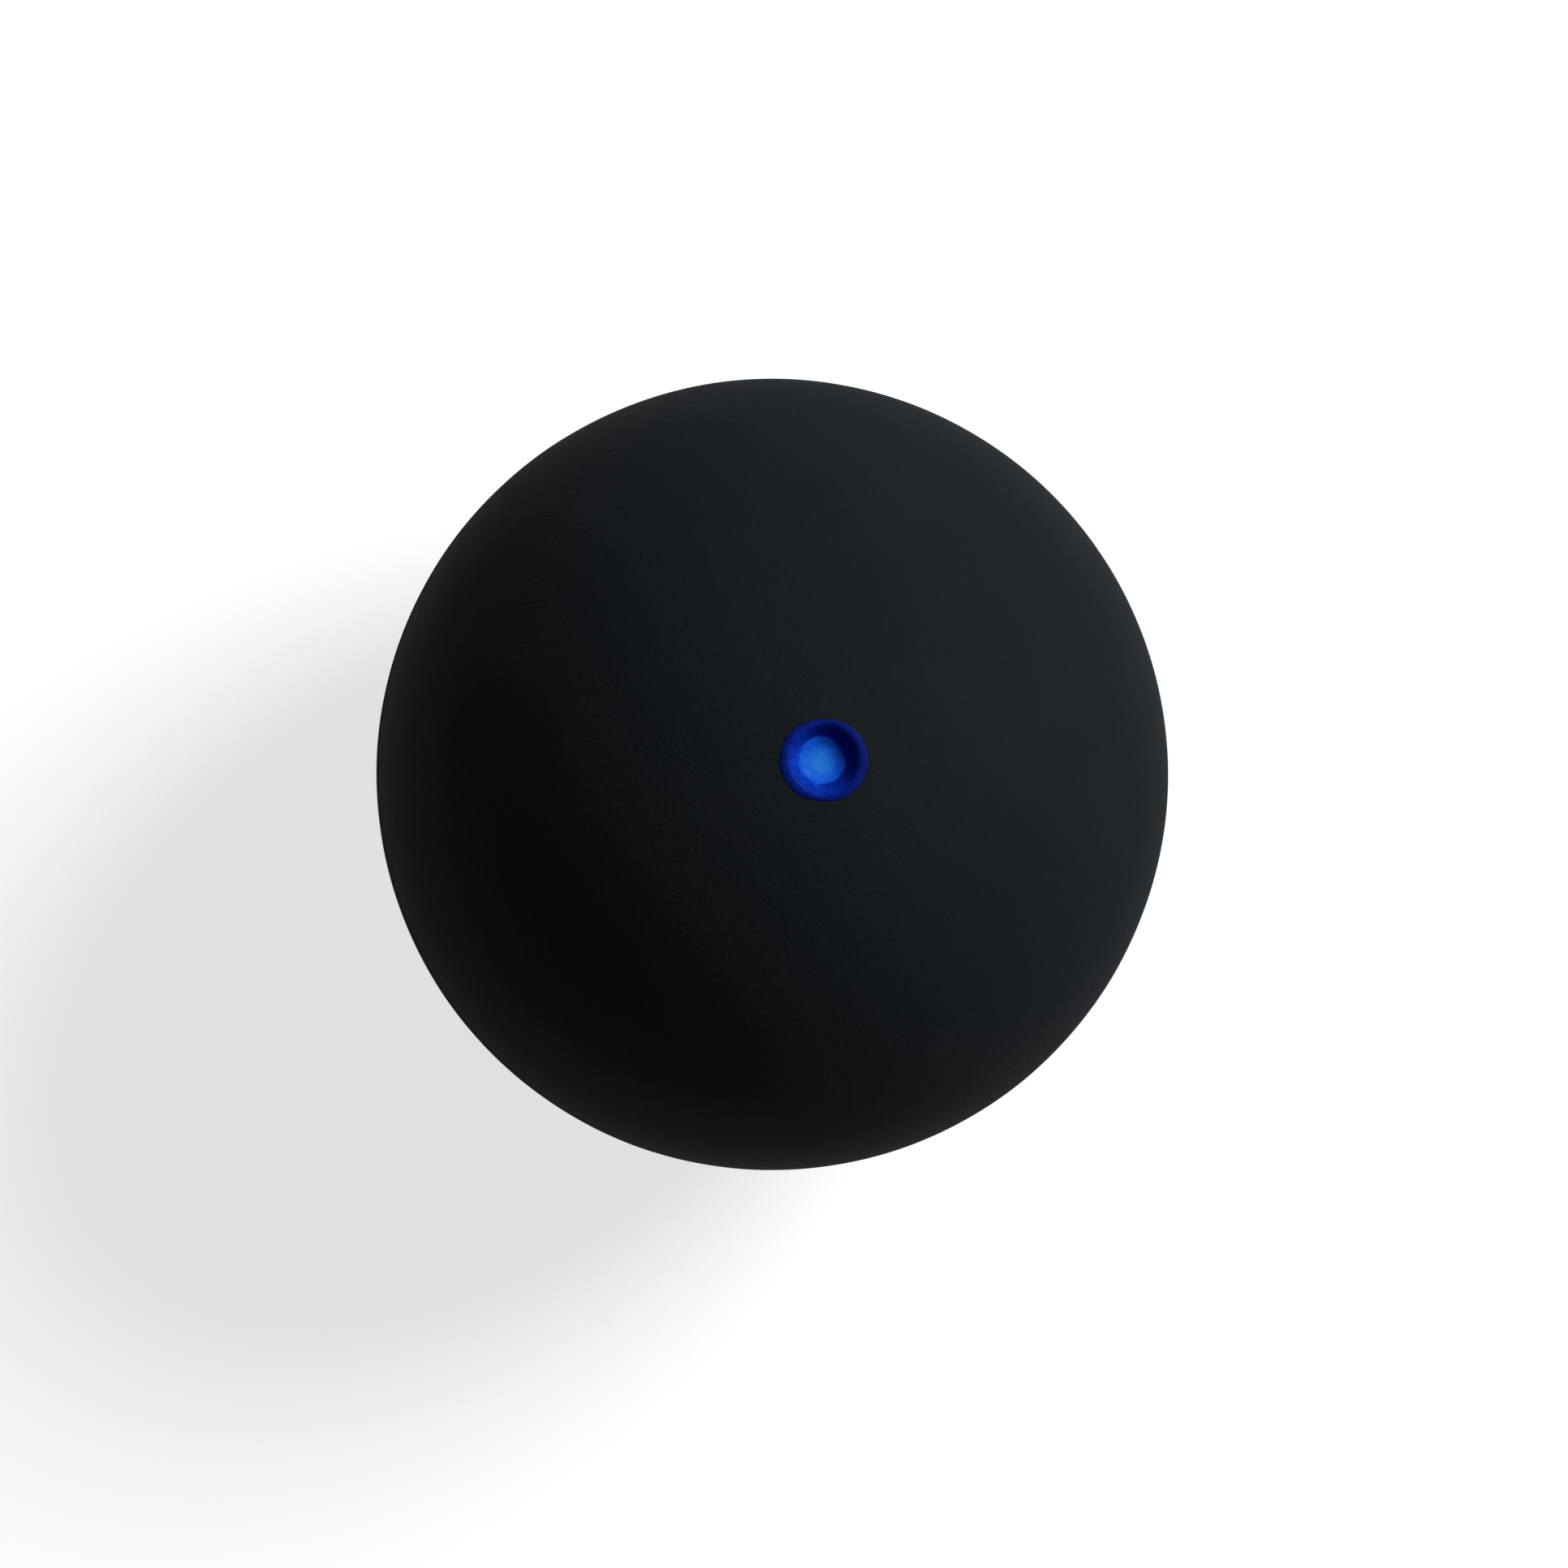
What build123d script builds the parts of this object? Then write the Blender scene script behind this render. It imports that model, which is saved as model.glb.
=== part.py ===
"""Squash ball: a hollow rubber sphere of two moulded half shells, cemented rim to rim.

A moulded dimple at the upper pole holds a daub of blue paint, the ball's speed mark.
Millimetres. The origin is the ball's centre and +Z runs up through the dimple.
Each piece is a half section in the XZ plane, revolved about the Z axis.
"""

import os
from math import sqrt

from build123d import *

# Driving dimensions of the rubber shells
ball_diameter = 40.0
wall_thickness = 4.7
rim_edge_break = 0.08  # fine bevel where each rim meets the outside
rim_inner_bevel = 0.40  # bevel where each rim meets the cavity, a seat for squeezed-out cement

# Driving dimensions of the cement line
cement_thickness = 0.10
cement_bead_height = 0.35  # how far the squeezed-out bead stands into the cavity

# Driving dimensions of the dimple, before its edges are rounded
dimple_mouth_diameter = 3.50
dimple_floor_diameter = 2.20
dimple_depth = 1.15  # from where the pole of the whole sphere would be
dimple_lip_radius = 0.20
dimple_floor_edge_radius = 0.25

# Driving dimensions of the paint
paint_film_thickness = 0.06  # on the dimple's wall and lip
paint_lap_width = 0.40  # how far the daub runs from the mouth's edge out over the ball
paint_pool_thickness = 0.16  # at the middle of the dimple's floor
paint_meniscus_height = 0.14  # how much higher the pool stands where it meets the wall
paint_meniscus_radius = 0.25  # how the pool turns up into the film there

# Sizes that follow from those
ball_radius = ball_diameter / 2
cavity_radius = ball_radius - wall_thickness
rim_height = cement_thickness / 2
mouth_radius = dimple_mouth_diameter / 2
floor_radius = dimple_floor_diameter / 2
floor_height = ball_radius - dimple_depth
film_radius = ball_radius + paint_film_thickness
pool_height = floor_height + paint_pool_thickness
pool_edge_height = pool_height + paint_meniscus_height


def at_reach(sphere_radius, reach):
    """The point of a sphere's upper outline this far from the Z axis."""
    return (reach, sqrt(sphere_radius**2 - reach**2))


def at_height(sphere_radius, height):
    """The point of a sphere's outline this far above the equator."""
    return (sqrt(sphere_radius**2 - height**2), height)


def below(point):
    """The same point mirrored to the other side of the equator."""
    return (point[0], -point[1])


# Corners of the upper half's rim, from the outside to the cavity
edge_on_outside = at_height(ball_radius, rim_height + rim_edge_break)
edge_on_rim = (at_height(ball_radius, rim_height)[0] - rim_edge_break, rim_height)
bevel_on_rim = (at_height(cavity_radius, rim_height)[0] + rim_inner_bevel, rim_height)
bevel_in_cavity = at_height(cavity_radius, rim_height + rim_inner_bevel)
cavity_pole = (0, cavity_radius)

# Corners of the dimple, from its mouth to the middle of its floor
mouth_corner = at_reach(ball_radius, mouth_radius)
floor_corner = (floor_radius, floor_height)
floor_middle = (0, floor_height)


def wall_reach(height):
    """How far the dimple's sloping wall stands from the Z axis at a height."""
    rise = (height - floor_height) / (mouth_corner[1] - floor_height)
    return floor_radius + rise * (mouth_radius - floor_radius)


# Corners of the paint, from the edge of its lap to the middle of its pool
lap_edge = at_reach(ball_radius, mouth_radius + paint_lap_width)
film_corner = at_reach(film_radius, mouth_radius - paint_film_thickness)
pool_edge = (wall_reach(pool_edge_height) - paint_film_thickness, pool_edge_height)
pool_middle = (0, pool_height)


def arc_about_centre(sphere_radius, start, finish):
    """Draw the arc of a sphere's outline from one of its points to another."""
    middle = (Vector(*start) + Vector(*finish)).normalized() * sphere_radius
    return ThreePointArc(start, middle, finish)


def rim_and_cavity():
    """Draw the upper half's section from the outside of its rim to the pole of its cavity."""
    Polyline(edge_on_outside, edge_on_rim, bevel_on_rim, bevel_in_cavity)
    arc_about_centre(cavity_radius, bevel_in_cavity, cavity_pole)


def round_corner(sketch, corner, radius):
    """Fillet the one corner of a sketch that lies at this point."""
    fillet(sketch.vertices().sort_by_distance(corner)[0], radius)


# Lower half shell, plain all over
with BuildPart() as plain_half:
    with BuildSketch(Plane.XZ):
        with BuildLine():
            rim_and_cavity()
            Line(cavity_pole, (0, ball_radius))
            arc_about_centre(ball_radius, (0, ball_radius), edge_on_outside)
        make_face()
        mirror(about=Plane.XZ, mode=Mode.REPLACE)
    revolve(axis=Axis.Z)
plain_half.part.label = "plain_half_shell"

# Upper half shell, with the dimple sunk in its pole
with BuildPart() as dotted_half:
    with BuildSketch(Plane.XZ) as dotted_section:
        with BuildLine():
            rim_and_cavity()
            Polyline(cavity_pole, floor_middle, floor_corner, mouth_corner)
            arc_about_centre(ball_radius, mouth_corner, edge_on_outside)
        make_face()
        round_corner(dotted_section, mouth_corner, dimple_lip_radius)
        round_corner(dotted_section, floor_corner, dimple_floor_edge_radius)
    revolve(axis=Axis.Z)
dotted_half.part.label = "dotted_half_shell"

# Cement between the rims, sunk a little in the groove outside and beaded in the cavity
groove_edge = Line(edge_on_outside, edge_on_rim) @ 0.5
bead_crest = (cavity_radius - cement_bead_height, 0)
with BuildPart() as cement:
    with BuildSketch(Plane.XZ):
        with BuildLine():
            Polyline((groove_edge.X, 0), groove_edge, edge_on_rim, bevel_on_rim, bevel_in_cavity)
            mirror(about=Plane.XZ)
            ThreePointArc(bevel_in_cavity, bead_crest, below(bevel_in_cavity))
        make_face()
    revolve(axis=Axis.Z)
cement.part.label = "seam_cement"

# Paint: a pool on the dimple's floor, a film up its wall and a lap over its lip
with BuildPart() as paint:
    with BuildSketch(Plane.XZ) as paint_section:
        with BuildLine():
            arc_about_centre(ball_radius, lap_edge, mouth_corner)
            Polyline(mouth_corner, floor_corner, floor_middle, pool_middle)
            TangentArc(pool_middle, pool_edge, tangent=(1, 0))
            Line(pool_edge, film_corner)
            TangentArc(film_corner, lap_edge, tangent=(film_corner[1], -film_corner[0]))
        make_face()
        round_corner(paint_section, mouth_corner, dimple_lip_radius)
        round_corner(paint_section, floor_corner, dimple_floor_edge_radius)
        round_corner(paint_section, film_corner, dimple_lip_radius + paint_film_thickness)
        round_corner(paint_section, pool_edge, paint_meniscus_radius)
    revolve(axis=Axis.Z)
paint.part.label = "dot_paint"

# One STEP file for each piece
os.makedirs("parts", exist_ok=True)
for piece in (plain_half, dotted_half, cement, paint):
    export_step(piece.part, f"parts/{piece.part.label}.step")
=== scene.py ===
"""Looks of a hollow rubber squash ball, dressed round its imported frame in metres.

The ball lies with its painted dimple up: +Z runs out through the dimple, and the cemented seam is
level with the origin. Each piece is a section turned about Z, worn a little by hand and mould.
"""

import math

import bpy
import numpy as np
from mathutils import Matrix, Vector, noise


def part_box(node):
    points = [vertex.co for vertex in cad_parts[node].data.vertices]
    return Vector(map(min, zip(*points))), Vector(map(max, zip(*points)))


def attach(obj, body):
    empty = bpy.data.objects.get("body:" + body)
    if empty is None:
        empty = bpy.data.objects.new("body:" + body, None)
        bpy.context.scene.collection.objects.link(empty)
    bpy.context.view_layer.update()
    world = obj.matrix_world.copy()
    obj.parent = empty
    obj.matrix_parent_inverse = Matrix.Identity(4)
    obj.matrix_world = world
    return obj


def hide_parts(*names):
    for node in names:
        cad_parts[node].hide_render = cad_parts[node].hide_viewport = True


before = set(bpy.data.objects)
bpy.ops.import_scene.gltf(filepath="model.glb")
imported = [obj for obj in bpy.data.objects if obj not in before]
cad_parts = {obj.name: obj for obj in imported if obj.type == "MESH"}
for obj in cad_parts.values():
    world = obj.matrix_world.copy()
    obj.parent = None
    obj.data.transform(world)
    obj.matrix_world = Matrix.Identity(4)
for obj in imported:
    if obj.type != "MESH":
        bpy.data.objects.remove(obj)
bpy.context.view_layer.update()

bl_info = {
    "name": "Squash Ball",
    "version": (1, 0, 0),
    "blender": (4, 5, 0),
    "location": "3D View > Sidebar > Squash Ball",
    "description": "Builds a hollow rubber squash ball with a painted dimple",
    "category": "Add Mesh",
}

MM = 0.001
BODY = "root"
BAKE_MAP = "OFBake"
FILM = "film_depth"
PHOTO_SIDE = 1932
WHITE = (1.0, 1.0, 1.0)

# Sizes that the frame gives
LOWER_LOW, LOWER_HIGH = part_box("plain_half_shell")
PAINT_LOW, PAINT_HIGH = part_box("dot_paint")
BALL_RADIUS = -LOWER_LOW.z
RIM_HEIGHT = -LOWER_HIGH.z
FLOOR_HEIGHT = PAINT_LOW.z
LAP_RADIUS = PAINT_HIGH.x


def length(name, description, default):
    """A length that a user would change, held in metres."""
    return bpy.props.FloatProperty(
        name=name,
        description=description,
        default=default,
        min=0.0,
        precision=5,
        unit="LENGTH",
        subtype="DISTANCE",
    )


def colour(name, description, default):
    """A surface colour, in linear light."""
    return bpy.props.FloatVectorProperty(
        name=name,
        description=description,
        default=default,
        size=3,
        min=0.0,
        max=1.0,
        subtype="COLOR",
    )


def share(name, description, default):
    """A number from 0 to 1."""
    return bpy.props.FloatProperty(
        name=name,
        description=description,
        default=default,
        min=0.0,
        max=1.0,
        subtype="FACTOR",
    )


def angle(name, description, degrees):
    """An angle, held in radians."""
    return bpy.props.FloatProperty(
        name=name,
        description=description,
        default=math.radians(degrees),
        unit="ROTATION",
        subtype="ANGLE",
    )


def pixels(name, description, default):
    """A length in the photograph's pixels."""
    return bpy.props.FloatProperty(
        name=name,
        description=description,
        default=default,
        subtype="PIXEL",
    )


class ShellSizes(bpy.types.PropertyGroup):
    """Sizes of the two rubber half shells and of the dimple."""

    radius: length("Ball Radius", "Outside radius of the ball", BALL_RADIUS)
    wall: length("Wall", "Thickness of the rubber", 4.7 * MM)
    rim_height: length("Rim Height", "Half of the cement line between the rims", RIM_HEIGHT)
    rim_break: length("Rim Break", "Fine bevel of a rim's outer edge", 0.08 * MM)
    rim_bevel: length("Rim Bevel", "Bevel of a rim's inner edge", 0.40 * MM)
    mouth_radius: length("Dimple Mouth", "Radius of the dimple's mouth", 1.75 * MM)
    floor_radius: length("Dimple Floor", "Radius of the dimple's floor", 1.10 * MM)
    floor_height: length("Floor Height", "Height of the dimple's floor", FLOOR_HEIGHT)
    lip_radius: length("Lip Round", "Round of the dimple's lip", 0.20 * MM)
    floor_round: length("Floor Round", "Round between the dimple's wall and floor", 0.25 * MM)
    swell: length("Mould Swell", "Depth of the mould's slow unevenness", 0.012 * MM)
    swell_width: length("Swell Width", "Width of one slow swell", 4.5 * MM)
    pebble: length("Pebble", "Depth of the fine moulded unevenness", 0.0022 * MM)
    pebble_width: length("Pebble Width", "Width of one fine pebble", 1.3 * MM)
    seam_sway: length("Seam Sway", "How unevenly the edges of the seam run", 0.03 * MM)
    seam_sway_width: length("Sway Width", "Length of one uneven stretch of the seam", 1.8 * MM)
    buff_depth: length("Buffed Depth", "How far the seam was ground back", 0.018 * MM)
    buff_width: length("Buffed Width", "Half width of the ground band", 1.1 * MM)


class PaintSizes(bpy.types.PropertyGroup):
    """Sizes of the paint daub in the dimple."""

    film: length("Film", "Paint on the dimple's wall and lip", 0.06 * MM)
    lap_radius: length("Lap Radius", "How far the paint runs from the axis", LAP_RADIUS)
    lap_oval: length("Lap Oval", "How much further the lap runs along X than along Y", 0.08 * MM)
    lap_shift: length("Lap Shift", "How far the daub lies off the dimple's middle", 0.02 * MM)
    shift_turn: angle("Shift Turn", "Which way the daub lies off the middle", 265.0)
    lap_wander: length("Lap Wander", "How unevenly the lap's edge runs", 0.09 * MM)
    wander_width: length("Wander Width", "Length of one uneven stretch of the lap", 1.6 * MM)
    sag: length("Sag", "How much thicker the paint is on the side where it sagged", 0.02 * MM)
    sag_turn: angle("Sag Turn", "Which way the paint sagged", 210.0)
    drain: length("Drain", "How much thicker the paint is at the foot of the wall", 0.045 * MM)
    pool: length("Pool", "Depth of the pool at its middle", 0.16 * MM)
    meniscus: length("Meniscus", "Rise of the pool at the wall", 0.14 * MM)
    ripple: length("Ripple", "Unevenness of the dried pool", 0.06 * MM)
    ripple_width: length("Ripple Width", "Width of one ripple", 0.9 * MM)
    pale_patch_off: length("Paled Off", "How far off the middle the pigment settled", 0.18 * MM)
    pale_patch_turn: angle("Paled Turn", "Which way off the middle the pigment settled", 236.0)
    pale_patch_radius: length("Paled Radius", "How far the settled pigment reaches", 1.1 * MM)


class CementSizes(bpy.types.PropertyGroup):
    """Sizes of the cement ring between the rims."""

    bead: length("Bead", "How far the squeezed bead stands into the cavity", 0.35 * MM)
    wander: length("Wander", "Unevenness of the line and of the bead", 0.03 * MM)
    wander_width: length("Wander Width", "Length of one uneven stretch", 2.2 * MM)


class Finishes(bpy.types.PropertyGroup):
    """Colours and gloss of the pieces."""

    rubber: colour("Rubber", "Carbon black rubber", (0.0138, 0.0172, 0.0203))
    rubber_bloom: colour("Bloom", "Rubber where wax has bloomed", (0.0168, 0.0203, 0.0232))
    rubber_scuffed: colour("Scuffed Rubber", "Rubber ground at the seam", (0.0290, 0.0315, 0.0330))
    rubber_gloss: share("Rubber Gloss", "Strength of the rubber's reflection", 0.018)
    rubber_rough: share("Rubber Roughness", "Mean roughness of the rubber", 0.84)
    cement: colour("Cement", "Dried rubber cement", (0.0120, 0.0112, 0.0105))
    cement_gloss: share("Cement Gloss", "Strength of the cement's reflection", 0.03)
    paint: colour("Paint", "Blue paint where it has pooled", (0.006, 0.110, 0.720))
    paint_pale: colour("Pale Paint", "Blue paint where its pigment settled", (0.027, 0.250, 0.860))
    deep_paint: colour("Deep Paint", "Blue paint at the foot of the wall", (0.003, 0.040, 0.460))
    thin_paint: colour("Thin Paint", "Blue film over black rubber", (0.002, 0.013, 0.220))
    paint_edge: colour("Paint Edge", "The film where it dies away", (0.004, 0.008, 0.030))
    paint_gloss: share("Paint Gloss", "Strength of the paint's reflection", 0.04)
    paint_rough: share("Paint Roughness", "Mean roughness of the dried paint", 0.50)


class StudioSettings(bpy.types.PropertyGroup):
    """Camera, lamp and background."""

    camera_tilt: angle("Camera Tilt", "How far the view leans off the ball's axis", 7.7)
    camera_turn: angle("Camera Turn", "Which way the dimple lies from the middle", 16.0)
    camera_distance: length("Camera Distance", "From the ball's middle", 0.6)
    ball_pixels: pixels("Ball Pixels", "Width of the ball in the photograph", 975.0)
    ball_across: pixels("Ball Across", "The ball's middle, from the photograph's left side", 951.5)
    ball_down: pixels("Ball Down", "The ball's middle, from the photograph's top", 954.3)
    key_off_axis: angle("Key Off Axis", "How far the key lamp stands off the view", 55.0)
    key_turn: angle("Key Turn", "Which way the key lamp stands, from the right", 33.0)
    key_distance: length("Key Distance", "From the ball's middle", 4.0)
    key_width: length("Key Width", "Diameter of the key lamp", 1.7)
    key_power: bpy.props.FloatProperty(
        name="Key Power",
        description="Power of the key lamp",
        default=150.0,
        min=0.0,
        unit="POWER",
    )
    fill: share("Fill", "Light from all round", 0.03)
    ceiling: share("Ceiling", "Brightness overhead in reflections", 0.05)
    floor_white: share("Floor", "Brightness of the floor's own colour", 0.45)
    floor_lift: share("Floor Lift", "What the view adds to reach white", 0.74)
    floor_bounce: share("Floor Bounce", "How much of its light the paper throws back", 0.85)
    floor_side: length("Floor Side", "Width of the floor", 1.0)


class BallSettings(bpy.types.PropertyGroup):
    """All settings of the ball."""

    shell: bpy.props.PointerProperty(type=ShellSizes)
    paint: bpy.props.PointerProperty(type=PaintSizes)
    cement: bpy.props.PointerProperty(type=CementSizes)
    finish: bpy.props.PointerProperty(type=Finishes)
    studio: bpy.props.PointerProperty(type=StudioSettings)


# Sections: points of (reach, height), where reach is the distance from the Z axis

FINE = 0.04 * MM
OUTSIDE_STEP = 0.27 * MM
RIM_STEP = 1.2 * MM
INSIDE_STEP = 1.1 * MM
FLOOR_STEP = 0.13 * MM
POOL_STEP = FLOOR_STEP / 2
LAP_BACK_STEP = FINE * 2
BEAD_STEP = FINE * 3
LAP_ROWS = 12
BREAK_ROWS = 2  # rows of a rim's fine outer bevel that go with the outside on the map


def straight(start, finish, step):
    """Points of a straight run, without its last one."""
    start, finish = np.array(start), np.array(finish)
    count = max(1, round(float(np.linalg.norm(finish - start)) / step))
    shares = np.arange(count)[:, None] / count
    return start + (finish - start) * shares


def round_run(middle, radius, start, finish, step):
    """Points of an arc from one angle to another, without its last one."""
    count = max(2, round(abs(finish - start) * radius / step))
    angles = start + (finish - start) * np.arange(count) / count
    return np.array(middle) + radius * np.column_stack((np.cos(angles), np.sin(angles)))


def heading(vector):
    """Angle of a direction in the section's plane."""
    return math.atan2(vector[1], vector[0])


def sphere_run(radius, start, finish, step):
    """Points along a sphere's outline between two of its points, without the last one."""
    return round_run((0.0, 0.0), radius, heading(start), heading(finish), step)


def corner_arc(before, corner, after, radius, step):
    """Where an arc that rounds a corner between two straight runs starts, the arc, and its end."""
    back = np.array(before) - corner
    ahead = np.array(after) - corner
    back /= np.linalg.norm(back)
    ahead /= np.linalg.norm(ahead)
    half = math.acos(float(np.clip(back @ ahead, -1.0, 1.0))) / 2
    reach = radius / math.tan(half)
    middle = corner + (back + ahead) / np.linalg.norm(back + ahead) * radius / math.sin(half)
    first = corner + back * reach
    last = corner + ahead * reach
    start = heading(first - middle)
    turn = (heading(last - middle) - start + math.pi) % (2 * math.pi) - math.pi
    return first, round_run(middle, radius, start, start + turn, step), last


def on_ball(radius, reach):
    """The point of a sphere's upper outline this far from the axis."""
    return np.array((reach, math.sqrt(radius**2 - reach**2)))


def cavity_radius(shell):
    """Radius of the hollow inside."""
    return shell.radius - shell.wall


def pool_height(shell, paint):
    """Height of the paint pool's middle."""
    return shell.floor_height + paint.pool


def dimple_line(shell):
    """The dimple from the middle of its floor to the start of the ball's outside."""
    mouth = on_ball(shell.radius, shell.mouth_radius)
    past_mouth = on_ball(shell.radius, shell.mouth_radius + shell.lip_radius)
    middle = np.array((0.0, shell.floor_height))
    foot = np.array((shell.floor_radius, shell.floor_height))
    floor_end, floor_arc, wall_start = corner_arc(middle, foot, mouth, shell.floor_round, FINE)
    wall_end, lip_arc, outside_start = corner_arc(foot, mouth, past_mouth, shell.lip_radius, FINE)
    floor = straight(middle, floor_end, FLOOR_STEP)
    wall = straight(wall_start, wall_end, FINE)
    return np.vstack((floor, floor_arc, wall, lip_arc)), outside_start


def rim_line(shell):
    """An upper rim from the outside to the cavity, and the cavity's edge."""
    cavity = cavity_radius(shell)
    top = shell.rim_height + shell.rim_break
    outer_edge = (math.sqrt(shell.radius**2 - top**2), top)
    rim_edge = (shell.radius - shell.rim_break, shell.rim_height)
    rim_inner = (cavity + shell.rim_bevel, shell.rim_height)
    bevel_top = shell.rim_height + shell.rim_bevel
    inner_edge = (math.sqrt(cavity**2 - bevel_top**2), bevel_top)
    outer_bevel = straight(outer_edge, rim_edge, FINE)
    flat = straight(rim_edge, rim_inner, RIM_STEP)
    inner_bevel = straight(rim_inner, inner_edge, shell.rim_bevel / 2)
    return np.vstack((outer_bevel, flat, inner_bevel)), np.array(inner_edge)


def half_shell(shell, pole_line, outside_start):
    """An upper half shell from its pole to the cavity's, and the row where its outside ends."""
    rim, inner_edge = rim_line(shell)
    cavity_pole = (0.0, cavity_radius(shell))
    outside = sphere_run(shell.radius, outside_start, rim[0], OUTSIDE_STEP)
    inside = sphere_run(cavity_radius(shell), inner_edge, cavity_pole, INSIDE_STEP)
    section = np.vstack((pole_line, outside, rim, inside, cavity_pole))
    return section, len(pole_line) + len(outside) + BREAK_ROWS


def upper_section(shell):
    """Upper half shell, from its dimple to its cavity, and the row where its outside ends."""
    return half_shell(shell, *dimple_line(shell))


def lower_section(shell):
    """Lower half shell, from its cavity to its outside, and the row where its outside starts."""
    upright, outside_end = half_shell(shell, np.empty((0, 2)), (0.0, shell.radius))
    return upright[::-1] * (1.0, -1.0), len(upright) - 1 - outside_end


def cement_section(shell, cement):
    """Cement ring, a closed line of outer face, lower rim, bead and upper rim; and its face's rows."""
    rim, inner_edge = rim_line(shell)
    groove = len(straight(rim[0], rim[0] - (shell.rim_break,) * 2, FINE))
    upper = np.vstack((rim[groove // 2 :], inner_edge))
    lower = upper * (1.0, -1.0)
    crest = cavity_radius(shell) - cement.bead
    half = inner_edge[1]
    width = inner_edge[0] - crest
    bead_radius = (half**2 + width**2) / (2 * width)
    bead_middle = (crest + bead_radius, 0.0)
    spread = math.asin(half / bead_radius)
    bead = round_run(bead_middle, bead_radius, math.pi + spread, math.pi - spread, BEAD_STEP)
    face = straight(upper[0], lower[0], FINE)
    return np.vstack((face, lower, bead[1:], upper[:0:-1])), len(face)


def pool_line(shell, paint, pool_edge, film_corner):
    """The pool from its middle through its turn up into the film, and where the turn ends."""
    pool_radius = (pool_edge[0] ** 2 + paint.meniscus**2) / (2 * paint.meniscus)
    middle = (0.0, pool_height(shell, paint) + pool_radius)
    low = -math.pi / 2
    high = low + math.asin(pool_edge[0] / pool_radius)
    pool = round_run(middle, pool_radius, low, high, POOL_STEP)
    start, turn, end = corner_arc(pool[-1], pool_edge, film_corner, shell.floor_round, FINE)
    return np.vstack((pool[pool[:, 0] < start[0]], turn)), end


def lap_line(shell, paint, start):
    """The lap's top from the lip out, without its last point, and that point."""
    edge = on_ball(shell.radius, paint.lap_radius)
    reaches = np.linspace(start[0], edge[0], LAP_ROWS)
    thin = (reaches - start[0]) / (edge[0] - start[0])
    height = shell.radius + paint.film * np.sqrt(np.clip(1.0 - thin**2, 0.0, 1.0))
    lap = np.column_stack((reaches, np.sqrt(height**2 - reaches**2)))
    return lap[:-1], edge


def paint_section(shell, paint):
    """Paint daub: its top from the pool to the lap, then its underside, and the top's rows."""
    under, lip_end = dimple_line(shell)
    foot = np.array((shell.floor_radius, shell.floor_height))
    mouth = on_ball(shell.radius, shell.mouth_radius)
    film_ball = shell.radius + paint.film
    corner = on_ball(film_ball, shell.mouth_radius - paint.film)
    past_corner = on_ball(film_ball, shell.mouth_radius + shell.lip_radius)
    rise = (pool_height(shell, paint) + paint.meniscus - foot[1]) / (mouth[1] - foot[1])
    pool_edge = foot + (mouth - foot) * rise - (paint.film, 0.0)
    pool, wall_start = pool_line(shell, paint, pool_edge, corner)
    lip_round = shell.lip_radius + paint.film
    wall_end, lip, lap_start = corner_arc(wall_start, corner, past_corner, lip_round, FINE)
    wall = straight(wall_start, wall_end, FINE)
    lap, lap_edge = lap_line(shell, paint, lap_start)
    back = sphere_run(shell.radius, lap_edge, lip_end, LAP_BACK_STEP)
    top = np.vstack((pool, wall, lip, lap))
    return np.vstack((top, back, lip_end, under[::-1])), len(top)


# Meshes: a section's points make rows, and each row has a place in every column round the axis

SHELL_COLUMNS = 480
PAINT_COLUMNS = 320

# Discs of a map, as middle and radius, and the share of the cement's map for its outer face
MAIN_DISC = ((0.5, 0.5), 0.49)
SMALL_DISC = ((0.09, 0.09), 0.07)
FACE_SHARE = 0.5


def turns_of(columns):
    """Angle of every column round the axis."""
    return np.arange(columns) * 2 * math.pi / columns


def turned(section, columns):
    """Places of a section's rows at every column round the axis."""
    turns = turns_of(columns)
    reach = section[:, 0, None]
    height = np.repeat(section[:, 1, None], columns, axis=1)
    return np.stack((reach * np.cos(turns), reach * np.sin(turns), height), axis=-1)


def disc_radii(line, disc_radius):
    """Radius on the map of each point of a line, by its length along the line from the pole."""
    steps = np.linalg.norm(np.diff(line, axis=0), axis=1)
    along = np.concatenate(((0.0,), np.cumsum(steps)))
    return disc_radius * along / along[-1]


def two_discs(section, split, first_disc, last_disc):
    """Map a section's rows up to a split and past it, each part as a disc about its own pole."""
    first_middle, first_radius = first_disc
    last_middle, last_radius = last_disc
    first_radii = disc_radii(section[: split + 1], first_radius)
    last_radii = disc_radii(section[split:][::-1], last_radius)[::-1]
    end = len(section) - 1
    return (0, split, first_middle, first_radii), (split, end, last_middle, last_radii)


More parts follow.
